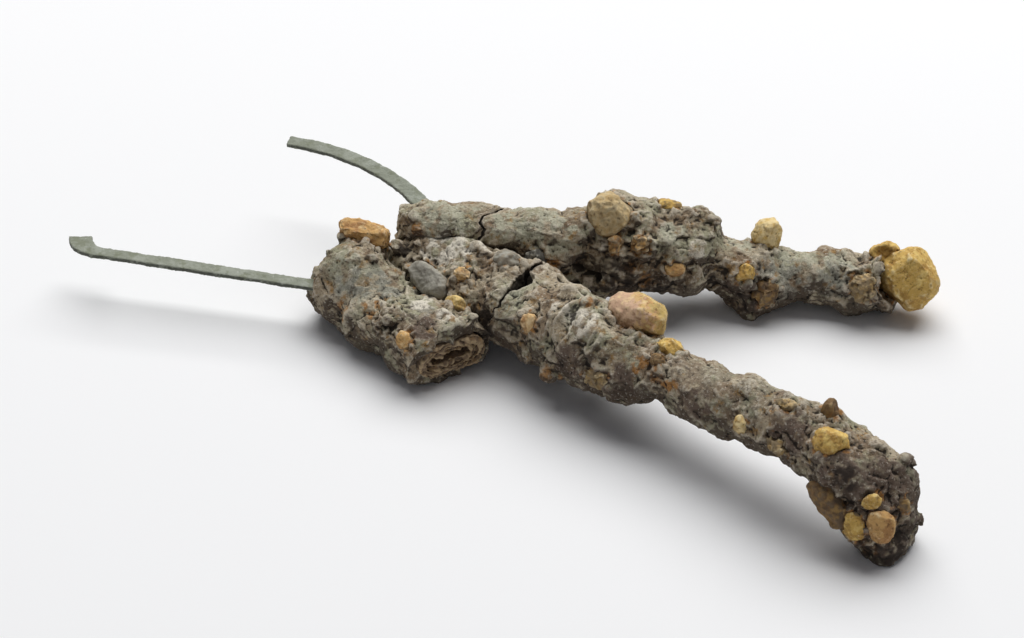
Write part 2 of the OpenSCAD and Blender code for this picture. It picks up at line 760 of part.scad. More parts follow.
translate(shift) {
  front_handle();
  front_blade();
  front_core();
  rear_handle();
  rear_blade();
  rear_core();
  stub_crust();
  stub_wall();
  stub_lining();
  hoop_hook();
  hoop_curve();
  rear_end_cobble();
  rear_end_nodule();
  rear_ledge_pebble();
  rear_saddle_pebble();
  rear_bud_left();
  rear_bud_right();
  rear_belly_pebble();
  rear_crown_pebble();
  rear_step_pebble();
  rear_foot_pebble();
  rear_blade_pebble();
  rear_wedge_stone();
  front_ridge_cobble();
  front_slant_pebble();
  front_crack_pebble();
  front_low_pebble();
  front_rust_pebble();
  front_side_pebble();
  front_crest_pebble();
  front_hip_pebble();
  front_bend_knob();
  front_bend_cobble();
  front_bend_slab();
  front_tip_yellow();
  front_tip_orange();
  front_tip_grain();
  front_tip_red();
  front_handle_pebble();
  front_valley_lens();
  front_ring_knob();
  stub_back_cobble();
  stub_break_pebble();
  stub_front_grain();
}
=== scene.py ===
# %% [markdown]
# # Roman strigils, rusted into one lump
# Three iron strigils lay together in wet gravel until rust swallowed them. Two
# blades cross like a pair of legs, the broken handle of a third lies beside
# them, and two flat bronze strips of the ring that once held the set stick out.
# Golden pebbles are cemented into the crust. The solids give every piece its
# place and size. This script gives each one its skin: it copies the solid,
# remeshes it finely, works the surface with noise, and paints it.

# %% Load the frame
import json
import math

import bmesh
import bpy
import numpy as np
from mathutils import Euler, Matrix, Vector, bvhtree, kdtree, noise


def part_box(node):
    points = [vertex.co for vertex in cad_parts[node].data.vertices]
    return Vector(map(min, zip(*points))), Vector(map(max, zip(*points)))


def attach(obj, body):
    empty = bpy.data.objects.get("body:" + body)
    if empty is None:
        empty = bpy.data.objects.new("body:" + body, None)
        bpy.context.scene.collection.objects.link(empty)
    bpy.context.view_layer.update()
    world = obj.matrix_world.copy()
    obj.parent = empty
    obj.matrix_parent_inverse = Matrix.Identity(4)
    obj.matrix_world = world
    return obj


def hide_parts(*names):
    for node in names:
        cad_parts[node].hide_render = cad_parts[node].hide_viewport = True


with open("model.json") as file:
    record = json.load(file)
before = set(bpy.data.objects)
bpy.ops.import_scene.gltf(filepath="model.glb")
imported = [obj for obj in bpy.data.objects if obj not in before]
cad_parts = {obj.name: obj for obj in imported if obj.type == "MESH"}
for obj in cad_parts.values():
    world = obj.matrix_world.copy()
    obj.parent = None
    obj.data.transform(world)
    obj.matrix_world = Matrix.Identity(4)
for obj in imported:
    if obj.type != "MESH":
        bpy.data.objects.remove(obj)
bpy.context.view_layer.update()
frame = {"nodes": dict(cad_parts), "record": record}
SLOT_OF = {part["node"]: part["material_slot"] for part in frame["record"]["subparts"]}
MM = 0.001
print(len(SLOT_OF), "pieces in", sorted(set(SLOT_OF.values())))

# %% [markdown]
# ## Camera
# The object is seen from above its front, along its own Y axis, with a long lens,
# so the far strip is hardly smaller than the near blade. A camera could be turned
# by hand until the view fits. Here it is worked out from one tilt, one distance and
# the point it looks at, so each can be changed by itself.

# %% Camera
CAMERA_RISE = 38  # degrees above the table
CAMERA_REACH = 1150  # mm from the lens to the point it looks at
AIM = Vector((3.3, 36.3, 0))  # mm
LENS = 105.1  # mm
SENSOR = 36  # mm across

camera = bpy.data.objects.new("camera", bpy.data.cameras.new("camera"))
rise = math.radians(CAMERA_RISE)
camera.location = (AIM + CAMERA_REACH * Vector((0, -math.cos(rise), math.sin(rise)))) * MM
camera.rotation_euler = (math.pi / 2 - rise, 0, 0)
camera.data.sensor_width = SENSOR
camera.data.lens = LENS
camera.data.clip_start = 0.05
bpy.context.scene.collection.objects.link(camera)
bpy.context.scene.camera = camera
print("camera at", [round(x, 3) for x in camera.location])

# %% [markdown]
# ## Colours and nodes
# Colours are written as they look on a screen and turned to linear light once,
# here. Every material is a small tree of nodes. Such a tree can be drawn in the
# shader editor, but a script has to build it link by link, so one helper adds a
# node, sets it and wires it.

# %% Colour and node helpers
def linear(tone):
    """An sRGB hex tone as linear red, green, blue and alpha."""
    parts = [int(tone[i:i + 2], 16) / 255 for i in (1, 3, 5)]
    return [c / 12.92 if c <= 0.04045 else ((c + 0.055) / 1.055) ** 2.4 for c in parts] + [1]


def add(tree, kind, inputs=(), **settings):
    """Adds a node, sets its properties, and fills its inputs from values or other outputs."""
    made = tree.nodes.new(kind)
    for key, value in settings.items():
        setattr(made, key, value)
    for key, value in dict(inputs).items():
        if isinstance(value, bpy.types.NodeSocket):
            tree.links.new(value, made.inputs[key])
        else:
            made.inputs[key].default_value = value
    return made


print("white is", linear("#ffffff"))

# %% [markdown]
# ## Table and light
# The object lies on a sheet of white paper under one broad soft lamp, high up
# behind it, so tops and back edges catch the light, the near sides stay dark, and
# the shadows fall to the front with wide soft edges. The world adds a weak even
# light that keeps the shadows open. A studio bends its paper up behind the object.
# A white world does the same with less: looked at directly it is plain white, so
# the flat sheet meets no horizon.

# %% Table and light
PAPER = "#f6f6f6"
TABLE_REACH = 4  # metres from its middle to its edges
LAMP_FROM = Vector((0.3, 1.5, 2.6))  # metres
LAMP_AIM = Vector((0, 0.05, 0))  # metres
LAMP_SIZE = (3.6, 3.0)  # metres
LAMP_POWER = 126  # watts
FILL = 0.14  # strength of the even light, where 1 is white

paper = bpy.data.materials.new("white_paper")
paper.use_nodes = True
sheet = paper.node_tree.nodes["Principled BSDF"].inputs
sheet["Base Color"].default_value = linear(PAPER)
sheet["Roughness"].default_value = 0.95
sheet["Specular IOR Level"].default_value = 0.1

table = bpy.data.meshes.new("table")
corners = [(x * TABLE_REACH, y * TABLE_REACH, 0) for x, y in ((-1, -1), (1, -1), (1, 1), (-1, 1))]
table.from_pydata(corners, [], [(0, 1, 2, 3)])
table.materials.append(paper)
table_top = bpy.data.objects.new("table_top", table)
bpy.context.scene.collection.objects.link(table_top)

lamp = bpy.data.objects.new("softbox", bpy.data.lights.new("softbox", "AREA"))
lamp.data.shape = "RECTANGLE"
lamp.data.size, lamp.data.size_y = LAMP_SIZE
lamp.data.energy = LAMP_POWER
lamp.location = LAMP_FROM
lamp.rotation_euler = (LAMP_AIM - LAMP_FROM).to_track_quat("-Z", "Y").to_euler()
bpy.context.scene.collection.objects.link(lamp)

world = bpy.data.worlds.new("studio")
world.use_nodes = True
bpy.context.scene.world = world
air = world.node_tree
air.nodes.clear()
seen = add(air, "ShaderNodeLightPath").outputs
direct = add(air, "ShaderNodeMath", {0: seen["Is Camera Ray"], 1: seen["Is Glossy Ray"]},
             operation="MAXIMUM")
direct = add(air, "ShaderNodeMath", {0: direct.outputs[0], 1: seen["Is Transmission Ray"]},
             operation="MAXIMUM")
fill = add(air, "ShaderNodeBackground", {"Color": linear("#f4f6ff"), "Strength": FILL})
white = add(air, "ShaderNodeBackground", {"Color": linear("#ffffff"), "Strength": 1})
sky = add(air, "ShaderNodeMixShader", {0: direct.outputs[0], 1: fill.outputs[0], 2: white.outputs[0]})
add(air, "ShaderNodeOutputWorld", {"Surface": sky.outputs[0]})
bpy.context.scene.view_settings.view_transform = "Standard"
print("softbox", lamp.data.energy, "W")

# %% [markdown]
# ## Minerals
# Rust, pebbles and verdigris are all weathered minerals: one ground colour with
# stains laid over it. They could be painted as pictures on unwrapped pieces. Noise
# needs no unwrapping and keeps one scale on all of them. So a stain's mask is either
# a noise of a given grain, written in millimetres, or a mask that the mesh carries,
# such as its hollows. Some carried masks are painted shade, dark in hollows and on
# undersides, or a painted highlight on crests. All of them are dull, so the
# roughness is high and the highlight weak. Real dust is finer than a pixel, so the
# finest grain is drawn about 0.4 mm wide, as coarse as it needs to be to show.

# %% A weathered mineral
GRAIN_SEED = 30  # keeps the noise of the grains apart from that of the stains


def mineral(name, ground, stains, grains, roughness, shine=0.25):
    """A dull material: stains are (tone, mask, from, to, strength), grains are (size mm, height mm)."""
    material = bpy.data.materials.new(name)
    material.use_nodes = True
    tree = material.node_tree
    tree.nodes.clear()
    place = add(tree, "ShaderNodeTexCoord").outputs["Object"]
    colour = linear(ground)
    for number, (tone, mask, low, high, strength) in enumerate(stains):
        if isinstance(mask, str):
            source = add(tree, "ShaderNodeAttribute", attribute_name=mask).outputs["Fac"]
        else:
            source = add(tree, "ShaderNodeTexNoise", {
                "Vector": place, "W": number + len(name), "Scale": 1 / (mask * MM), "Detail": 5,
                "Roughness": 0.62}, noise_dimensions="4D").outputs["Fac"]
        share = add(tree, "ShaderNodeMapRange", {
            "Value": source, "From Min": low, "From Max": high, "To Max": strength},
            interpolation_type="SMOOTHSTEP").outputs["Result"]
        colour = add(tree, "ShaderNodeMix", {0: share, 6: colour, 7: linear(tone)},
                     data_type="RGBA").outputs[2]
    normal = None
    for number, (size, height) in enumerate(grains):
        bumps = add(tree, "ShaderNodeTexNoise", {
            "Vector": place, "W": GRAIN_SEED + number, "Scale": 1 / (size * MM), "Detail": 4,
            "Roughness": 0.6}, noise_dimensions="4D").outputs["Fac"]
        wires = {"Height": bumps, "Distance": height * MM, "Strength": 1.0}
        if normal:
            wires["Normal"] = normal
        normal = add(tree, "ShaderNodeBump", wires).outputs["Normal"]
    shader = add(tree, "ShaderNodeBsdfPrincipled", {
        "Base Color": colour, "Roughness": roughness, "Specular IOR Level": shine, "Normal": normal})
    add(tree, "ShaderNodeOutputMaterial", {"Surface": shader.outputs[0]})
    return material


FINISH = {
    # Iron rust grown through with soil and sand: dull, gritty, patched taupe, olive grey and brown.
    "iron_crust": mineral("rusted_iron_crust", "#b0a188", [
        ("#cbbfa6", "tint", 0.55, 0.80, 0.55),
        ("#88725a", "tint", 0.40, 0.18, 0.6),
        ("#a2a287", 14, 0.47, 0.60, 0.75),
        ("#7d674f", 9, 0.50, 0.62, 0.8),
        ("#b9b7a0", "olive", 0.15, 0.8, 0.85),
        ("#8f8d82", "ash", 0.15, 0.8, 0.75),
        ("#7f6e5b", "earth", 0.1, 0.9, 0.7),
        ("#ece4d3", "pale", 0.15, 0.8, 0.85),
        # pale on raised crests: partly worn pale, partly a painted highlight
        ("#e0d6c3", "proud", 0.57, 1.05, 0.5),
        ("#99753f", 5, 0.56, 0.67, 0.8),
        # purple-brown rust; on the near side of the tip and under the rear foot it is painted shade
        ("#69594e", "plum", 0.15, 0.8, 0.9),
        ("#b78040", "rust", 0.2, 0.8, 0.8),
        # painted shade on faces that look down
        ("#463a30", "under", 0.1, 0.9, 0.88),
        ("#efe7d6", 1.0, 0.55, 0.68, 0.5),
        ("#4c4035", 0.9, 0.54, 0.66, 0.6),
        ("#453a30", 2.4, 0.55, 0.68, 0.6),
        # painted shadow in gaps, under overhangs and at the foot of the shanks
        ("#2f2722", "dark", 0.15, 0.95, 0.9),
        # painted shade in hollows, on the crack faces and in the seams round the stones
        ("#1f1915", "hollow", 0.58, 0.98, 0.92),
    ], [(1.3, 0.9), (0.45, 0.45)], 0.88),
    # Wrought iron turned to laminated rust: brown leaves with ochre between them.
    "iron_core": mineral("laminated_iron_rust", "#8a7661", [
        ("#957750", 3, 0.50, 0.64, 0.7),
        # pale on raised points: partly worn, partly a painted highlight
        ("#c3ab87", "proud", 0.55, 0.95, 0.75),
        ("#42382f", 1.4, 0.53, 0.68, 0.65),
        # painted shade in recesses
        ("#1a1512", "hollow", 0.55, 1.0, 0.92),
    ], [(0.9, 0.4), (0.4, 0.15)], 0.9),
    # Hammered bronze strip under an even coat of pale verdigris, with painted shade on its side faces and
    # in hollows.
    "bronze": mineral("verdigris_bronze", "#868a7b", [
        ("#9a9e91", 6, 0.46, 0.62, 0.8),
        ("#727660", 4, 0.50, 0.64, 0.7),
        ("#c0c3b9", 1.3, 0.62, 0.72, 0.8),
        ("#60655a", 1.0, 0.58, 0.70, 0.6),
        # painted shade on the side faces and in hollows
        ("#45473f", "hollow", 0.5, 0.95, 0.85),
    ], [(0.9, 0.25), (0.4, 0.1)], 0.7, 0.35),
    # Quartz under a coat of iron ochre: matt gold, filmed with crust. Edges are cream, partly
    # worn, partly painted highlight; pits and undersides carry painted shade.
    "golden_stone": mineral("ochre_gold_pebble", "#cfaa5d", [
        ("#a37c40", 5, 0.48, 0.62, 0.8),
        ("#e8ca7c", 4, 0.51, 0.63, 0.75),
        ("#f3e5b8", "proud", 0.58, 1.0, 0.65),
        ("#efdba9", "light", 0, 1, 0.8),
        ("#8b6838", "under", 0.2, 1.0, 0.6),
        ("#71532f", 1.6, 0.56, 0.67, 0.7),
        ("#f2e0ac", 0.8, 0.58, 0.68, 0.5),
        ("#4a3721", "hollow", 0.57, 0.95, 0.85),
        ("#80705a", "film", 0.25, 0.95, 0.85),
    ], [(1.0, 0.35), (0.35, 0.15)], 0.8),
    # The same quartz under redder ochre: matt orange, turning pink or green where the coat is thin.
    # Edges are cream, partly worn, partly painted highlight; pits and undersides carry painted shade.
    "orange_stone": mineral("ochre_orange_pebble", "#cda368", [
        ("#a1744a", 5, 0.48, 0.62, 0.8),
        ("#cba78f", "blush", 0.2, 0.9, 0.85),
        ("#b99f55", "green", 0.2, 0.9, 0.85),
        ("#ebcf9b", 3, 0.54, 0.66, 0.7),
        ("#f2dfb8", "proud", 0.58, 1.0, 0.75),
        ("#eed5a8", "light", 0, 1, 0.8),
        ("#85613c", "under", 0.2, 1.0, 0.6),
        ("#6e5034", 1.6, 0.55, 0.67, 0.7),
        ("#f0dcb2", 0.8, 0.58, 0.68, 0.5),
        ("#40301f", "hollow", 0.58, 1.0, 0.85),
        ("#80705a", "film", 0.25, 0.95, 0.85),
    ], [(1.0, 0.3), (0.35, 0.12)], 0.8),
    # A pebble of hard clay: dull tan, paler on edges, partly rubbed, partly painted highlight.
    # Pits and undersides carry painted shade.
    "tan_stone": mineral("clay_tan_pebble", "#ba9d6c", [
        ("#cbb58c", 5, 0.48, 0.64, 0.8),
        ("#8d7352", 4, 0.50, 0.64, 0.8),
        ("#e9dab3", "proud", 0.6, 1.1, 0.7),
        ("#e3d2a8", "light", 0, 1, 0.8),
        ("#6d573c", "under", 0.2, 1.0, 0.6),
        ("#64503a", 1.5, 0.56, 0.68, 0.7),
        ("#3d3024", "hollow", 0.58, 1.0, 0.85),
        ("#82735c", "film", 0.25, 0.95, 0.85),
    ], [(1.0, 0.35), (0.4, 0.14)], 0.85),
    # Ironstone: dull dark brown with rust in it. Edges partly painted highlight, pits painted shade.
    "brown_stone": mineral("rust_brown_pebble", "#7f6546", [
        ("#a1824f", 5, 0.48, 0.62, 0.8),
        ("#5c4936", 3, 0.50, 0.64, 0.8),
        ("#b89f75", "proud", 0.58, 1.0, 0.75),
        ("#875733", 2.4, 0.58, 0.68, 0.6),
        ("#2d221a", "hollow", 0.58, 1.0, 0.85),
        ("#655748", "film", 0.25, 0.95, 0.8),
    ], [(1.0, 0.35), (0.4, 0.14)], 0.85),
    # Slate worn by water: olive grey, smoother than the rest, with a painted highlight on edges
    # and painted shade in pits and over the shaded stones.
    "dark_stone": mineral("olive_slate_pebble", "#a29e92", [
        ("#a5a192", 5, 0.48, 0.64, 0.8),
        ("#716b60", 3, 0.50, 0.64, 0.8),
        ("#46433e", "shade", 0.2, 0.9, 0.92),
        ("#b9b4a4", "proud", 0.58, 1.0, 0.7),
        ("#c9c4b4", 1.2, 0.62, 0.72, 0.6),
        ("#2a2622", "hollow", 0.58, 1.0, 0.85),
        ("#8d8270", "film", 0.25, 0.95, 0.8),
    ], [(1.0, 0.25), (0.4, 0.1)], 0.75),
}
print("finishes:", ", ".join(m.name for m in FINISH.values()))

# %% [markdown]
# ## From a solid to a skin
# A solid from the frame has few, large faces. Its copy is remeshed into quads of
# about half a millimetre or less, which gives points to work with. Rubble that is
# merged in first melts into the same skin. A sculpting brush would be quicker, but
# its strokes can't be run again. A displacement modifier would be shorter, but it
# can't tell where a stone or a crack is. So all shaping below happens in
# millimetres, on arrays of those points.

# %% Skins
WELD = 0.01  # mm, points of a solid closer than this are one
UNEVEN = (0.82, 1.12)  # how far the points of a rough lump lie from its middle, as shares of its radii
LOWEST = 0.02  # mm above the table


def skin(name, voxel, relax, rubble=(), seed=0):
    """A finely remeshed copy of a solid, with rough lumps merged in: (centre, radii, turn) in mm."""
    shape = bmesh.new()
    shape.from_mesh(frame["nodes"][name].data)
    bmesh.ops.remove_doubles(shape, verts=shape.verts, dist=WELD * MM)
    draw = np.random.default_rng(seed)
    for centre, radii, turn in rubble:
        stand = Matrix.LocRotScale(Vector(centre) * MM, turn, Vector(radii) * MM)
        lump = bmesh.ops.create_icosphere(shape, subdivisions=2, radius=1)["verts"]
        for vert, far in zip(lump, draw.uniform(*UNEVEN, len(lump))):
            vert.co = stand @ (vert.co * far)
    coarse = bpy.data.meshes.new(name + "_coarse")
    shape.to_mesh(coarse)
    shape.free()
    piece = bpy.data.objects.new(name + "_skin", coarse)
    bpy.context.scene.collection.objects.link(piece)
    remesh = piece.modifiers.new("remesh", "REMESH")
    remesh.mode = "VOXEL"
    remesh.voxel_size = voxel * MM
    remesh.use_smooth_shade = True
    smooth = piece.modifiers.new("relax", "SMOOTH")
    smooth.factor = 0.5
    smooth.iterations = relax
    depsgraph = bpy.context.evaluated_depsgraph_get()
    fine = bpy.data.meshes.new_from_object(piece.evaluated_get(depsgraph))
    piece.modifiers.clear()
    piece.data = fine
    bpy.data.meshes.remove(coarse)
    return piece


def points_of(mesh):
    """Places and normals of a mesh's points, places in mm."""
    places = np.empty(3 * len(mesh.vertices), np.float32)
    normals = np.empty(3 * len(mesh.vertices), np.float32)
    mesh.vertices.foreach_get("co", places)
    mesh.vertex_normals.foreach_get("vector", normals)
    return places.reshape(-1, 3).astype(float) / MM, normals.reshape(-1, 3).astype(float)


def move_points(mesh, places):
    """Puts worked points back into a mesh, none below the table, and returns the new normals."""
    places[:, 2] = np.maximum(places[:, 2], LOWEST)
    mesh.vertices.foreach_set("co", (places * MM).astype(np.float32).ravel())
    mesh.update()
    return points_of(mesh)[1]


def soften(mesh, values, rounds):
    """Values at a mesh's points, averaged with their neighbours that often."""
    ends = np.empty(2 * len(mesh.edges), np.int32)
    mesh.edges.foreach_get("vertices", ends)
    one, two = ends.reshape(-1, 2).T
    links = np.bincount(ends, minlength=len(values))[:, None]
    for _ in range(rounds):
        pull = [np.bincount(one, v[two], len(v)) + np.bincount(two, v[one], len(v)) for v in values.T]
        values = (values + np.array(pull).T / links) / 2
    return values


def relief(mesh, places, normals, rounds):
    """How far each point stands out of the same surface softened that often, in mm."""
    return ((places - soften(mesh, places, rounds)) * normals).sum(1)


def finish_piece(piece, masks):
    """Paints masks on a worked skin and puts it in the assembly in place of its solid."""
    name = piece.name.removesuffix("_skin")
    for mask, values in masks.items():
        layer = piece.data.attributes.new(mask, "FLOAT", "POINT")
        layer.data.foreach_set("value", np.clip(values, 0, 1).astype(np.float32))
    piece.data.materials.clear()
    piece.data.materials.append(FINISH[SLOT_OF[name]])
    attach(piece, "root")
    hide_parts(name)
    print(name, len(piece.data.polygons), "faces")
    return piece


print("skin helpers ready")

# %% [markdown]
# ## Noise
# Each kind of noise stands for one thing that happens to buried iron. Swells are
# soft and go both ways. Billows are round lumps with sharp creases between them,
# the way rust blisters. Ridges are the reverse: sharp crests between soft
# valleys, the way it wrinkles. A broken mosaic gives small faces at all angles,
# as crusts have where flakes came off, and gravel packs round grains side by
# side. Noise nodes in a material could only bump the shading. Read at each point
# instead, noise gives real shapes that show in the outline too. All kinds take a
# size in millimetres, and the seed is fixed, so every run gives the same surface.

# %% Noise helpers
NOISE_SEED = 5
noise.seed_set(NOISE_SEED)


def swell(places, size, octaves, seed):
    """Soft noise, mostly from -0.5 to 0.5."""
    shifted = (places / size + 7.31 * seed).tolist()
    return np.array([noise.fractal(p, 0.9, 2.0, octaves) for p in shifted])


def billow(places, size, octaves, seed):
    """Round lumps with creases between them, mostly from -0.5 to 0.5."""
    shifted = (places / size + 5.17 * seed).tolist()
    return 1.6 * (np.array([noise.turbulence(p, octaves, True) for p in shifted]) - 0.4)


def ridge(places, size, octaves, seed):
    """Sharp crests, mostly from -0.5 to 0.5."""
    shifted = (places / size + 3.77 * seed).tolist()
    crests = np.array([noise.ridged_multi_fractal(p, 1.0, 2.0, octaves, 1.0, 2.0) for p in shifted])
    return 0.8 * (crests - 1)


def broken(places, size, seed):
    """A mosaic of tilted faces (mostly -0.5 to 0.5), and one chance value for each face (0 to 1)."""
    spots = places / size + 4.41 * seed
    centres = [noise.voronoi(p)[1][0] for p in spots.tolist()]
    tilt = 2 * np.array([noise.cell_vector(c * 41) for c in centres]) - 1
    chance = np.array([noise.cell_vector(c * 41 + c.yzx) for c in centres])
    return 1.2 * ((spots - np.array(centres)) * tilt).sum(1) + 0.4 * (chance[:, 0] - 0.5), chance[:, 1]


def gravel(places, size, seed):
    """Round grains side by side, from -0.3 to 0.3."""
    shifted = (places / size + 6.13 * seed).tolist()
    away = np.array([noise.voronoi(p)[0][0] for p in shifted])
    return np.sqrt(np.maximum(0.36 - away ** 2, 0)) - 0.3


def warp(places, size, amount, seed):
    """The places pushed about by noise, so patterns read from them look torn."""
    shifted = (places / size + 2.3 * seed).tolist()
    return places + amount * np.array([noise.noise_vector(p) for p in shifted])


def step(values, low, high):
    """Smooth step from 0 at low to 1 at high."""
    t = np.clip((values - low) / (high - low), 0, 1)
    return t * t * (3 - 2 * t)


def near(places, spots):
    """How close points are to any of the spots (x, y, z, reach) in mm: 1 inside, 0 outside."""
    share = np.zeros(len(places))
    for x, y, z, reach in spots:
        away = np.linalg.norm(places - (x, y, z), axis=1)
        share = np.maximum(share, step(away, 1.25 * reach, 0.5 * reach))
    return share


print("noise helpers ready")

# %% [markdown]
# ## Pebbles
# River pebbles are worn round but keep flat faces where they split. They could be
# modelled one by one, but a copy of its solid already sits in its socket. So each
# copy is planed by a few flats: the faces that show are listed, the rest are drawn
# at random. Soft swells and fine grain follow. How far a point then stands out or
# in is painted as masks: edges turn pale, partly as wear and partly as a painted
# highlight, hollows and undersides get painted shade, and where the stone meets the
# crust a film of crust creeps over it.

# %% Pebbles
STONE_SLOTS = ("golden_stone", "orange_stone", "tan_stone", "brown_stone", "dark_stone")
CRUST_SLOT = "iron_crust"
FLATS = {  # way a flat faces, and how far out it lies as a share of the stone
    "rear_end_cobble": [((-0.1, -0.85, 0.5), 0.74), ((0.7, 0, 0.7), 0.80), ((0.75, -0.3, -0.6), 0.80),
                        ((-0.65, -0.5, -0.55), 0.76), ((-0.6, -0.1, 0.75), 0.9), ((0.1, -0.3, -0.95), 0.8)],
    "rear_saddle_pebble": [((-0.1, -0.85, 0.5), 0.66), ((-1, -0.1, 0.2), 0.84)],
    "rear_step_pebble": [((-0.4, -0.5, 0.75), 0.66), ((0.8, -0.6, 0.1), 0.76), ((0.2, -0.8, -0.5), 0.74)],
    "rear_foot_pebble": [((-0.6, -0.6, 0.5), 0.68), ((0.3, -0.7, 0.7), 0.70), ((0.8, -0.4, -0.3), 0.78)],
    "rear_belly_pebble": [((-0.1, -0.6, 0.8), 0.68), ((0, -0.8, -0.6), 0.74)],
    "stub_break_pebble": [((-0.6, -0.4, 0.7), 0.66), ((0.6, -0.5, 0.6), 0.70), ((0, -1, 0), 0.78)],
    "stub_back_cobble": [((0.1, -0.2, 1), 0.80), ((0, -1, 0.2), 0.84), ((1, -0.3, 0), 0.86)],
    "front_bend_slab": [((-0.6, -0.8, 0.1), 0.72), ((0.1, -0.9, 0.4), 0.84)],
    "front_bend_knob": [((-0.7, -0.6, 0.3), 0.68), ((0.8, -0.4, 0.4), 0.72)],
    "front_tip_yellow": [((-0.2, -0.9, 0.4), 0.78), ((0.9, 0, 0.3), 0.84)],
    "front_tip_orange": [((0.2, -0.9, 0.4), 0.76), ((-0.9, 0, 0.3), 0.86)],
    "front_slant_pebble": [((0.3, -0.5, 0.8), 0.74), ((-0.4, -0.8, -0.2), 0.76)],
    "front_valley_lens": [((-0.2, -0.5, 0.85), 0.78)],
    "rear_wedge_stone": [((-0.5, -0.6, 0.6), 0.66), ((0.6, -0.7, 0.4), 0.70), ((0, -0.9, -0.3), 0.76)],
}
DENTS = {  # way a dent faces and its depth as a share of the stone
    "front_bend_cobble": ((0.45, -0.75, -0.45), 0.1),
    "rear_end_nodule": ((-0.1, -0.9, 0.4), 0.14),
    "front_ridge_cobble": ((-0.2, -0.9, -0.3), 0.06),
}
GROOVES = {  # way the layers of a stone run
    "stub_back_cobble": (0.95, -0.1, -0.3),
    "front_slant_pebble": (0.6, -0.5, -0.6),
    "rear_step_pebble": (0.7, -0.3, -0.6),
}
FILMED = {  # share of a stone that crust has grown over
    "front_ring_knob": 0.6, "front_bend_slab": 0.5, "rear_bud_left": 0.6, "rear_bud_right": 0.65,
    "front_low_pebble": 0.65, "front_hip_pebble": 0.75, "rear_blade_pebble": 0.7, "rear_foot_pebble": 0.5,
    "front_tip_red": 0.65, "front_crest_pebble": 0.6, "rear_crown_pebble": 0.4, "rear_saddle_pebble": 0.3,
    "rear_ledge_pebble": 0.1, "rear_step_pebble": 0.3, "front_rust_pebble": 0.4, "front_handle_pebble": 0.4,
}
SMOOTH = (  # worn round, with no flats but those listed
    "front_valley_lens", "front_ring_knob", "rear_ledge_pebble", "front_bend_cobble", "rear_end_cobble",
    "rear_end_nodule", "front_ridge_cobble",
)
PITTED = ("rear_end_cobble", "front_bend_cobble")  # low dents and shallow pits
ROUGH = (  # crusted over, so the film has a relief of its own
    "rear_bud_left", "rear_bud_right", "front_low_pebble", "front_hip_pebble", "rear_blade_pebble",
    "rear_foot_pebble", "front_tip_red", "front_crest_pebble", "front_rust_pebble", "front_handle_pebble",
)
BARE = (  # no film creeps over these
    "rear_end_cobble", "front_ridge_cobble", "stub_back_cobble", "front_side_pebble",
)
TRIM = {  # size before planing, as a share of the solid
    "rear_end_cobble": 0.95, "front_ridge_cobble": 0.96, "front_tip_yellow": 1.07,
    "front_tip_orange": 1.07, "front_tip_grain": 1.08,
}
USUAL_TRIM = 1.03  # a little larger, to make up for planing and softening
LIGHT = {  # share of a stone that is bleached
    "front_side_pebble": 0.9, "rear_ledge_pebble": 0.7, "front_crack_pebble": 0.5,
    "rear_saddle_pebble": 0.45, "front_ridge_cobble": 0.25, "front_handle_pebble": 0.3,
    "stub_break_pebble": 0.4,
}
SHADED = {  # share of a stone that is darker
    "rear_wedge_stone": 1, "front_ring_knob": 0.3, "front_valley_lens": 0.25,
}
VOXELS_ACROSS = 45  # how finely a stone is remeshed
FINEST = 0.3  # mm, the smallest voxel of a stone
STONE_SEED = 11
CHANCE_FLATS = 3  # flats drawn at random on a stone that isn't smooth
CHANCE_DEPTH = (0.86, 0.95)  # how far out they lie, as shares of the stone
PLANED = 0.9  # share of what stands over a flat that is worn away
RING = 2.6  # mm between the rings of the ring knob
RING_MIDDLE = (2, -3, -1)  # mm from the middle of the ring knob
BLUNT = 2.3  # 2 is an egg, more is a blunter cobble
RIDGE_MIDDLE = 50  # x in mm where the ridge cobble turns from pink to green
FILM_REACH = 2.4  # mm that the film creeps up a stone, at most

crust_shape = bmesh.new()
for node in (n for n in SLOT_OF if SLOT_OF[n] == CRUST_SLOT):
    crust_shape.from_mesh(frame["nodes"][node].data)
crust_solids = bvhtree.BVHTree.FromBMesh(crust_shape)
crust_shape.free()


def fuller(offset):
    """An egg's points pushed out between its axes, so it gets the blunt corners of a cobble."""
    axes = np.linalg.eigh(np.cov(offset.T))[1]
    own = offset @ axes
    share = np.abs(own) / np.abs(own).max(0)
    blunt = np.sqrt((share ** 2).sum(1)) / ((share ** BLUNT).sum(1) ** (1 / BLUNT))
    return (own * blunt[:, None]) @ axes.T


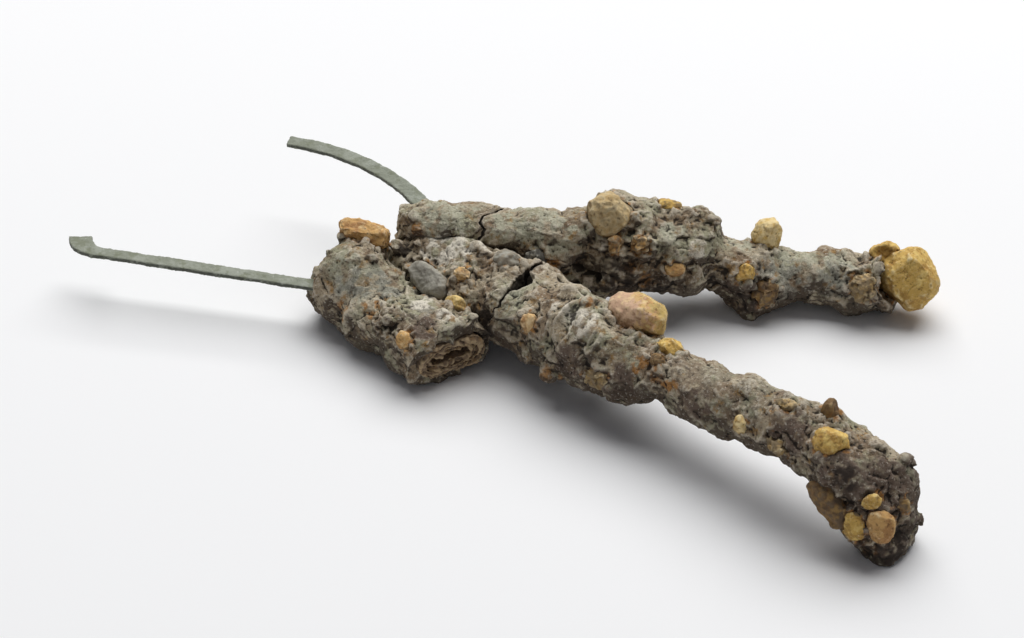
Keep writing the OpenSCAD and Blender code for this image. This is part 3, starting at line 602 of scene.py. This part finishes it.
def pebble(name, seed):
    """The skin of a stone: blunted, planed, dented, weathered and painted."""
    low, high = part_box(name)
    size = sum(high - low) / 3 / MM
    piece = skin(name, max(FINEST, size / VOXELS_ACROSS), 5)
    places, normals = points_of(piece.data)
    middle = places.mean(0)
    offset = fuller(places - middle)
    offset *= TRIM.get(name, USUAL_TRIM) * np.array(high - low) / MM / np.ptp(offset, axis=0)
    draw = np.random.default_rng(seed)
    flats = [(np.array(way), share) for way, share in FLATS.get(name, [])]
    if name not in SMOOTH:
        flats += [(draw.normal(size=3), draw.uniform(*CHANCE_DEPTH)) for _ in range(CHANCE_FLATS)]
    for way, share in flats:
        way = way / np.linalg.norm(way)
        along = offset @ way
        offset -= np.outer(np.maximum(along - share * along.max(), 0) * PLANED, way)
    if name in DENTS:
        way, depth = np.array(DENTS[name][0]), DENTS[name][1] * size
        facing = offset @ way / np.linalg.norm(way) / np.linalg.norm(offset, axis=1)
        offset -= np.outer(depth * step(facing, 0.65, 0.98), way)
    places = middle + soften(piece.data, offset, 8 if name in SMOOTH else 2)
    normals = move_points(piece.data, places)
    soft = swell(places, 0.4 * size, 3, seed)
    torn = warp(places, 4, 1.5, seed)
    split = broken(torn, max(0.45 * size, 3), seed)[0]
    height = 0.04 * size * soft
    height = height + 0.25 * swell(torn, 2.8, 3, seed) + 0.12 * swell(places, 0.9, 2, seed)
    if name not in SMOOTH:
        height += soften(piece.data, 0.028 * size * split[:, None], 3)[:, 0]
    if name in PITTED:
        pits = step(swell(torn, 3, 3, seed + 5), 0.2, 0.55)
        height += 0.55 * swell(torn, 6, 2, seed + 4) - 0.25 * pits
    if name in ROUGH:
        flakes = broken(torn, 3, seed + 2)[0]
        height += FILMED[name] * (1.6 * flakes + 1.2 * swell(places, 4, 2, seed + 3))
    if name in GROOVES:
        way = np.array(GROOVES[name]) / np.linalg.norm(GROOVES[name])
        height += 0.7 * ridge(torn - 0.8 * np.outer(torn @ way, way), 3.5, 2, seed)
    if name == "front_ring_knob":
        turns = np.linalg.norm(places - middle - RING_MIDDLE, axis=1) / RING
        height += 0.3 * np.cos(2 * math.pi * turns)
    places += normals * height[:, None]
    normals = move_points(piece.data, places)
    fine, broad = relief(piece.data, places, normals, 4), relief(piece.data, places, normals, 40)
    away = np.array([crust_solids.find_nearest(p)[3] or 0 for p in (places * MM).tolist()]) / MM
    height = 1.6 * fine + 0.35 * broad
    patchy = swell(places, 2, 4, seed + 1)
    film = step(away, min(0.2 * size, FILM_REACH), 0.4) * (0.8 + 1.5 * patchy) * (name not in BARE)
    # pale on raised points, partly wear and partly painted highlight; painted shade in hollows
    masks = {"proud": 0.5 + height, "hollow": 0.5 - height,
             "film": np.maximum(film, FILMED.get(name, 0) * (1 + 1.6 * patchy)),
             "shade": SHADED.get(name, 0) * (1 + patchy),
             "light": LIGHT.get(name, 0) * (1 + patchy),
             # painted shade on faces that look down, and less on faces that look towards -x
             "under": step(normals[:, 2] + 0.5 * normals[:, 0] + 0.6 * patchy, 0.5, -0.7)}
    if name == "front_ridge_cobble":
        side = places[:, 0] - RIDGE_MIDDLE + 6 * soft + 6 * patchy
        masks["blush"], masks["green"] = step(-side, -4, 5), step(side, -2, 8)
    return finish_piece(piece, masks)


stones = [name for name in SLOT_OF if SLOT_OF[name] in STONE_SLOTS]
pebbles = [pebble(name, STONE_SEED + number) for number, name in enumerate(stones)]
stone_points = np.vstack([points_of(p.data)[0] for p in pebbles])
stone_tree = kdtree.KDTree(len(stone_points))
for index, place in enumerate(stone_points.tolist()):
    stone_tree.insert(place, index)
stone_tree.balance()
print(len(pebbles), "pebbles,", len(stone_points), "points")

# %% [markdown]
# ## Crust
# The crust is the rust itself, grown outward through sand. It is made of flakes
# and crumbs at all angles, wrinkles like cloth in one place and packs into gravel
# in others, and it closes round each pebble. Thousands of loose flakes would do it
# too, but a crust is one skin. So small knobs that show in the outline are merged
# in before the remesh, lists of spots say where the crust changes, and noise does
# the rest.

# %% Where the crust differs from place to place
KNOBS = {  # x, y, z, then half length, half width and half height in mm, then bearing in degrees
    "rear_blade": [(44, 55, 44, 6, 4, 3, 20), (37, 55, 43, 3, 3, 3, 0), (79, 50, 37, 5, 2, 1.5, -25),
                   (71, 51, 40, 5, 3, 2, -10), (95, 36, 7, 4, 4, 4, 0), (101, 38, 9, 4, 3, 3, 30),
                   (50, 34, 26, 4, 3, 3, 0), (54, 33, 19, 4, 3, 3, 0), (40, 33, 20, 4, 3, 4, 0),
                   (139, 47, 20, 2, 4, 2, -10), (139, 40, 19, 2, 4, 2.5, 15),
                   # the knobs on this line and the next hang under the hump as a mass that fills the shaded
                   # gap between the shanks
                   (20, 38, 24, 6, 4, 4, 0), (27, 38, 19, 5, 4, 4, 0), (33, 36, 18, 5, 4, 4, 0),
                   (38, 36, 15, 5, 4, 4, 0)],
    "front_handle": [(-39, 44, 28, 5, 4, 4, 0), (-9, 35, 34, 5, 3, 3, -40), (-33, 42, 32, 3, 2, 1.5, -20)],
    "front_blade": [(141, -84, 31, 3, 2, 2, -20), (139, -86, 34, 2.5, 2, 2, 0), (145, -91, 11, 3, 3, 3, 0),
                    (17, -13, 13, 3, 3, 3, 0), (30, -4, 39, 4, 2, 1.5, 10), (25, 4, 38, 4, 2, 1.5, -30)],
    "stub_crust": [(-60, 47, 28, 3, 2, 3, 0), (-64, 40, 30, 4, 2, 2, 20),
                   (-56, 33, 32, 5, 2, 1, 25), (-50, 34, 31, 3, 2, 2, -20), (-22, 7, 25, 4, 3, 2, 20),
                   (-14, 5, 24, 5, 2, 2, 20), (-43, 8, 21, 3, 3, 3, 0)],
    "rear_handle": [(-33, 50, 38, 3, 2, 2, -20)],
}
SPOTS = {  # painted or worked patches: x, y, z and reach in mm
    "olive": [(-22, 48, 40, 13), (5, 46, 40, 10), (18, 45, 40, 9), (64, 41, 38, 6), (92, 52, 25, 7),
              (110, 46, 21, 11), (127, 42, 20, 9), (-55, 27, 28, 12), (-47, 21, 25, 9), (3, 9, 30, 6),
              (77, -42, 37, 8), (89, -54, 41, 7), (6, 41, 36, 8), (15, 40, 35, 9), (24, 39, 36, 8),
              (-20, 44, 37, 8)],
    "ash": [(99, 39, 18, 9), (110, 38, 16, 10), (127, 38, 17, 9), (-46, 23, 25, 9), (-58, 24, 26, 8),
            (-31, 10, 25, 7)],
    "pale": [(-19, 37, 33, 10), (27, -13, 38, 8), (-24, 38, 32, 8), (-29, 15, 24, 6), (-20, 5, 25, 5),
             (21, -4, 38, 5), (32, -12, 38, 4), (26, -16, 35, 4), (74, 38, 32, 5), (37, 37, 34, 2.5),
             (-8, 35, 34, 4)],
    "rust": [(-60, 20, 17, 5), (-50, 14, 23, 5), (-33, 45, 36, 4), (18, -14, 14, 5), (30, -5, 39, 3),
             (56, -38, 32, 4), (59, -42, 30, 5), (127, -101, 6, 5), (49, 33, 30, 5), (53, 32, 22, 4),
             (19, 39, 26, 5), (49, -33, 33, 4)],
    # purple-brown rust; the spots on the near side of the tip and under the rear foot paint shade
    "plum": [(116, -90, 34, 9), (126, -97, 26, 12), (134, -99, 12, 13), (42, -33, 24, 9), (23, -18, 23, 8),
             (-29, -1, 24, 6), (70, -51, 30, 7), (100, -74, 36, 9), (120, -95, 32, 8),
             (140, -88, 28, 8), (143, -92, 15, 10), (93, 36, 10, 8), (87, 36, 14, 5), (130, -93, 33, 10),
             (137, -95, 24, 9), (141, -85, 33, 5)],
    "earth": [(60, -40, 36, 14), (76, -50, 34, 16), (90, -60, 38, 16), (104, -74, 36, 16),
              (120, -88, 32, 16), (52, -32, 26, 14), (30, -18, 22, 14), (-38, 6, 18, 12)],
    # painted shadow: gaps between pieces, under the hump and the lens, at the feet of the shanks
    "dark": [(-39, 43, 28, 4), (-8, 12, 22, 5), (-4, 8, 18, 6), (133, -102, 6, 11), (118, -94, 33, 6),
             (-32, 25, 23, 3), (-27, 22, 21, 3), (-24, 21, 18, 3), (44, 32, 22, 9), (58, 34, 17, 8),
             (91, 35, 8, 6)],
    "calm": [(-22, 48, 40, 14), (2, 46, 40, 12), (18, 45, 40, 12), (88, 48, 26, 9), (94, -66, 39, 10),
             (74, 38, 32, 6), (113, 42, 20, 14), (77, -49, 38, 13), (67, -45, 35, 10), (-52, 25, 27, 14),
             (-62, 33, 30, 9), (-29, 15, 24, 9), (41, -28, 31, 10), (121, -92, 35, 8), (-20, 36, 32, 12)],
    "lumpy": [(-60, 19, 17, 9), (-48, 10, 20, 8), (-38, 2, 19, 8), (44, 33, 24, 9), (92, 35, 10, 8),
              (135, -92, 30, 8), (133, -100, 11, 12), (12, -10, 18, 9), (-39, 45, 28, 6), (62, 46, 41, 9)],
    "wrinkle": [(24, -7, 38, 9), (32, -19, 36, 7), (19, -12, 32, 7)],
    "lace": [(-42, 16, 25, 6), (-44, 6, 21, 5)],
}
print(sum(map(len, KNOBS.values())), "knobs,", sum(map(len, SPOTS.values())), "painted spots")

# %% [markdown]
# ## Cracks
# Two cracks run across the shanks, each over the middle of the core that bridges
# it. Cutting with another solid would leave clean walls, and a break through rust
# is never flat. So both halves are pushed along the shank by the same jagged line,
# and they still fit each other.

# %% Cracks
CRACK_PATHS = {  # core under the crack, bearing of the shank, then y and push along the shank in mm
    "front": ("front_core", -40, [(4, -3.6), (6, -3.4), (8, -1.9), (10, -1.1), (14, -0.4), (18, 0)]),
    "rear": ("rear_core", -5, [(39, -3.5), (42, -4), (45, -4.5), (47, -3), (52, 3), (56, 6), (60, 7)]),
}
CRACKED = {"front_handle": "front", "front_blade": "front", "rear_handle": "rear", "rear_blade": "rear"}
CRACK_SEED = 61
CHIPS = {  # x, y, z, reach and push in mm
    "front_blade": [(6, 19, 32, 5, (4, -3.4, -3))],
    "rear_blade": [(151, 39, 18, 11, (-4, 0, 0))],
}


def crack_of(name):
    """Middle and direction of the crack at the end of a piece."""
    bar, bearing, _ = CRACK_PATHS[CRACKED[name]]
    low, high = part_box(bar)
    turn = math.radians(bearing)
    return np.array((low + high) / 2) / MM, np.array([math.cos(turn), math.sin(turn), 0])


def break_line(name, places):
    """Points near the crack, pushed to its jagged line."""
    if name not in CRACKED:
        return places
    middle, way = crack_of(name)
    span, push = np.array(CRACK_PATHS[CRACKED[name]][2]).T
    flat = places - np.outer((places - middle) @ way, way)
    jag = np.interp(places[:, 1], span, push) + 1.6 * ridge(flat, 5, 3, CRACK_SEED)
    reach = step(np.abs((places - middle) @ way), 14, 3)
    places = places + np.outer(jag * reach, way)
    for x, y, z, size, shove in CHIPS.get(name, []):
        places = places + np.outer(near(places, [(x, y, z, size)]), shove)
    return places


def on_break(name, places, normals):
    """1 on the faces of the crack, 0 elsewhere."""
    if name not in CRACKED:
        return np.zeros(len(places))
    middle, way = crack_of(name)
    return step(np.abs(normals @ way), 0.55, 0.8) * step(np.abs((places - middle) @ way), 7, 4)


print(len(CRACK_PATHS), "cracks between", len(CRACKED), "pieces")

# %% [markdown]
# ## Working the crust
# Each piece is worked in three passes. First noise raises flakes, crumbs, lumps and
# folds, less of them where the surface is calm. Then the crack is torn, and the rim
# of each socket is drawn in until it meets its pebble; done before the noise, both
# would be blurred by it. Last, masks are painted: what stands out turns pale, partly
# as wear and partly as a painted highlight; hollows, crack faces, the seams round the
# stones and faces that look down get painted shade; crust that touches a stone is
# stained with rust.

# %% Crust
BEARING = {"front_blade": -40, "front_handle": -40, "rear_blade": -5, "rear_handle": -5, "stub_crust": -45}
WIDE = {  # mm across
    "roll": 11, "flake": 6.5, "crumb": 2.6, "lump": 4.6, "bit": 3.2, "grit": 1.3, "fold": 5.5, "hole": 2.6,
}
HIGH = {  # mm
    "roll": 1.7, "flake": 1.0, "crumb": 0.36, "lump": 1.2, "bit": 0.28, "grit": 0.3, "fold": 2.6,
    "hole": 1.5, "collar": 1.2,
}
COLLAR = 4  # mm from a stone to where the crust stops swelling towards it
CRUST_SEED = 101
SEED_STEP = 12  # each piece of crust has a dozen seeds
PAINTED = ("olive", "ash", "earth", "pale", "rust", "dark")  # spots with patchy edges
RIM = 1.4  # mm from a stone to where the crust is drawn in to meet it


def crust(name, seed, voxel):
    """The skin of a piece of crust, worked by noise, torn at its crack and closed round its stones."""
    knobs = [((x, y, z), radii, Euler((0, 0, math.radians(bearing))).to_quaternion())
             for x, y, z, *radii, bearing in KNOBS[name]]
    piece = skin(name, voxel, 4, knobs, seed)
    places, normals = points_of(piece.data)
    out = soften(piece.data, normals, 8)
    out /= np.linalg.norm(out, axis=1)[:, None]
    spots = {kind: near(places, where) for kind, where in SPOTS.items()}
    free = 1 - on_break(name, places, normals)
    lively = 1 - np.maximum(0.65 * spots["calm"], 0.5 * spots["wrinkle"])

    turn = math.radians(BEARING[name])
    way = np.array([math.cos(turn), math.sin(turn), 0])
    torn = warp(places - 0.3 * np.outer(places @ way, way), 5, 1.4, seed)
    roll = swell(places, WIDE["roll"], 2, seed + 1)
    flake, tint = broken(torn, WIDE["flake"], seed + 2)
    crumb = broken(warp(places, 2, 0.6, seed + 3), WIDE["crumb"], seed + 3)[0]
    lump = gravel(warp(places, 4, 1.2, seed + 4), WIDE["lump"], seed + 4)
    patches = step(swell(places, 8, 2, seed + 12), 0.05, 0.4)
    bit = step(gravel(places, WIDE["bit"], seed + 12), 0.08, 0.3) * patches
    grit = swell(places, WIDE["grit"], 2, seed + 5)
    around = 0.3 * places + 0.7 * np.outer(places @ way, way)
    fold = ridge(warp(around, 4, 1.2, seed + 6), WIDE["fold"], 2, seed + 6)
    hole = step(swell(places, WIDE["hole"], 2, seed + 7), 0.1, 0.4)
    height = HIGH["roll"] * roll + HIGH["flake"] * flake + HIGH["crumb"] * crumb + HIGH["bit"] * bit
    height = lively * height + HIGH["grit"] * grit
    height += HIGH["lump"] * spots["lumpy"] * lump + HIGH["fold"] * spots["wrinkle"] * fold
    height -= HIGH["hole"] * spots["lace"] * hole
    height = soften(piece.data, height[:, None], 1)[:, 0]

    reach = np.array([stone_tree.find(p)[2] for p in places.tolist()])
    height += HIGH["collar"] * step(reach, COLLAR, 0.8) * (0.6 + 1.8 * swell(places, 3.6, 2, seed + 8))
    places = break_line(name, places + out * (free * height)[:, None])

    found = [stone_tree.find(p) for p in places.tolist()]
    reach = np.array([f[2] for f in found])
    pull = 0.8 * step(reach, RIM, 0.6) * np.maximum(reach - 0.2, 0) / np.maximum(reach, 0.01)
    places += (np.array([f[0] for f in found]) - places) * pull[:, None]
    normals = move_points(piece.data, places)

    small, broad = relief(piece.data, places, normals, 4), relief(piece.data, places, normals, 60)
    height = 2.4 * small + 0.45 * broad
    patchy = 0.65 + 1.2 * swell(places, 3.5, 3, seed + 9)
    masks = {kind: spots[kind] * patchy for kind in PAINTED}
    # purple-brown rust, painted shade where it lies on the tip and under the rear foot
    masks["plum"] = spots["plum"] * (0.35 + 0.6 * patchy)
    stained = step(reach, 3.2, 0.6) * (0.25 + 1.5 * swell(places, 2.6, 3, seed + 11))
    masks["rust"] = np.maximum(masks["rust"], 0.75 * stained)
    masks["tint"] = tint
    # pale on raised points and wrinkle crests: partly worn, partly painted highlight
    masks["proud"] = 0.5 + height + 0.4 * spots["wrinkle"] * fold
    # painted shade in the seam round each stone
    seam_shade = step(reach, 0.9, 0.3) * (0.6 + 0.9 * swell(places, 2, 2, seed))
    # painted shade in hollows, on the crack faces and in the seams
    masks["hollow"] = np.maximum(np.maximum(0.5 - height, 0.95 * (1 - free)), seam_shade)
    # painted shade on faces that look down
    masks["under"] = step(normals[:, 2] + 0.6 * swell(places, 6, 3, seed + 10), 0.55, -0.3)
    return finish_piece(piece, masks)


CRUSTS = {  # voxel in mm
    "front_blade": 0.55, "rear_blade": 0.52, "stub_crust": 0.46, "front_handle": 0.46, "rear_handle": 0.42,
}
for number, (name, voxel) in enumerate(CRUSTS.items()):
    crust(name, CRUST_SEED + SEED_STEP * number, voxel)

# %% [markdown]
# ## Cores and the broken handle
# Where the crust has cracked, the iron core bridges the gap. The third handle is
# broken across: its folded sheet shows there as brown leaves, one inside
# another, round a dark slit. Each leaf could be a thin sheet of its own. Torn rings
# raised on the face of the break look the same at this size and leave no loose
# pieces.

# %% Cores and leaves
IRON_VOXEL = 0.4  # mm
IRON_SEED = 201
LEAF = 1.9  # mm from leaf to leaf
BREAK_WAY = np.array([0.5, -0.87, 0])  # the broken end faces the front, a little to the right
BREAK_ACROSS = np.array([0.87, 0.5, 0])


def core(name, seed):
    """The skin of a bar in a crack, blistered, painted mostly dark as shade, with a pale highlight on its
    bumps.
    """
    piece = skin(name, IRON_VOXEL, 2)
    places, normals = points_of(piece.data)
    places += normals * (0.6 * billow(places, 2.5, 3, seed))[:, None]
    normals = move_points(piece.data, places)
    height = relief(piece.data, places, normals, 20)
    # painted shade over most of the bar, deepest in recesses; a painted highlight on raised points
    return finish_piece(piece, {"hollow": 0.75 - height, "proud": 0.3 + height})


def leaves(name, seed):
    """The skin of a sheet in the broken end, split into leaves on the face of the break."""
    piece = skin(name, IRON_VOXEL, 1)
    places, normals = points_of(piece.data)
    low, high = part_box(name)
    middle = np.array((low + high) / 2) / MM
    torn = warp(places, 5, 2.5, seed)
    across, up = (torn - middle) @ BREAK_ACROSS, torn[:, 2] - middle[2]
    ring = np.sqrt((across / 2) ** 2 + up ** 2)
    leaf = np.cos(2 * math.pi * ring / LEAF)
    face = step(normals @ BREAK_WAY, 0.3, 0.8)
    height = face * (0.55 * leaf + 1.8 * swell(places, 5, 3, seed))
    height = height + 0.5 * billow(places, 2.2, 3, seed + 1)
    places += normals * height[:, None]
    normals = move_points(piece.data, places)
    small, broad = relief(piece.data, places, normals, 6), relief(piece.data, places, normals, 50)
    height = 1.2 * small + 0.3 * broad
    # pale on the raised rims, partly worn, partly painted highlight; painted shade in the low parts
    return finish_piece(piece, {"hollow": 0.5 - height, "proud": 0.45 + height})


for number, name in enumerate(n for n in SLOT_OF if SLOT_OF[n] == "iron_core"):
    (core if name.endswith("_core") else leaves)(name, IRON_SEED + number)

# %% [markdown]
# ## Bronze strips
# The ring that held the set is flat hammered bronze. Verdigris has eaten its
# edges a little, so they waver, and its faces carry low blisters. A curve with a
# flat profile would give a clean strip. A worked copy of the solid keeps its length
# and bend, and its edges can be eaten unevenly.

# %% Bronze strips
BRONZE_VOXEL = 0.3  # mm
WAVER_SEED = 301
BLISTER_SEED = 311

for number, name in enumerate(n for n in SLOT_OF if SLOT_OF[n] == "bronze"):
    piece = skin(name, BRONZE_VOXEL, 3)
    places, normals = points_of(piece.data)
    waver = swell(places, 6, 3, WAVER_SEED + number)
    blister = swell(places, 1.6, 3, BLISTER_SEED + number)
    edge = 1 - np.abs(normals[:, 2])
    places += normals * (0.1 + (0.15 + 0.3 * edge) * waver + 0.15 * blister)[:, None]
    move_points(piece.data, places)
    # painted shade on the strip's side faces and in the low parts of its blisters
    finish_piece(piece, {"hollow": 0.75 * step(edge, 0.35, 0.9) + 0.25 - 0.5 * blister})
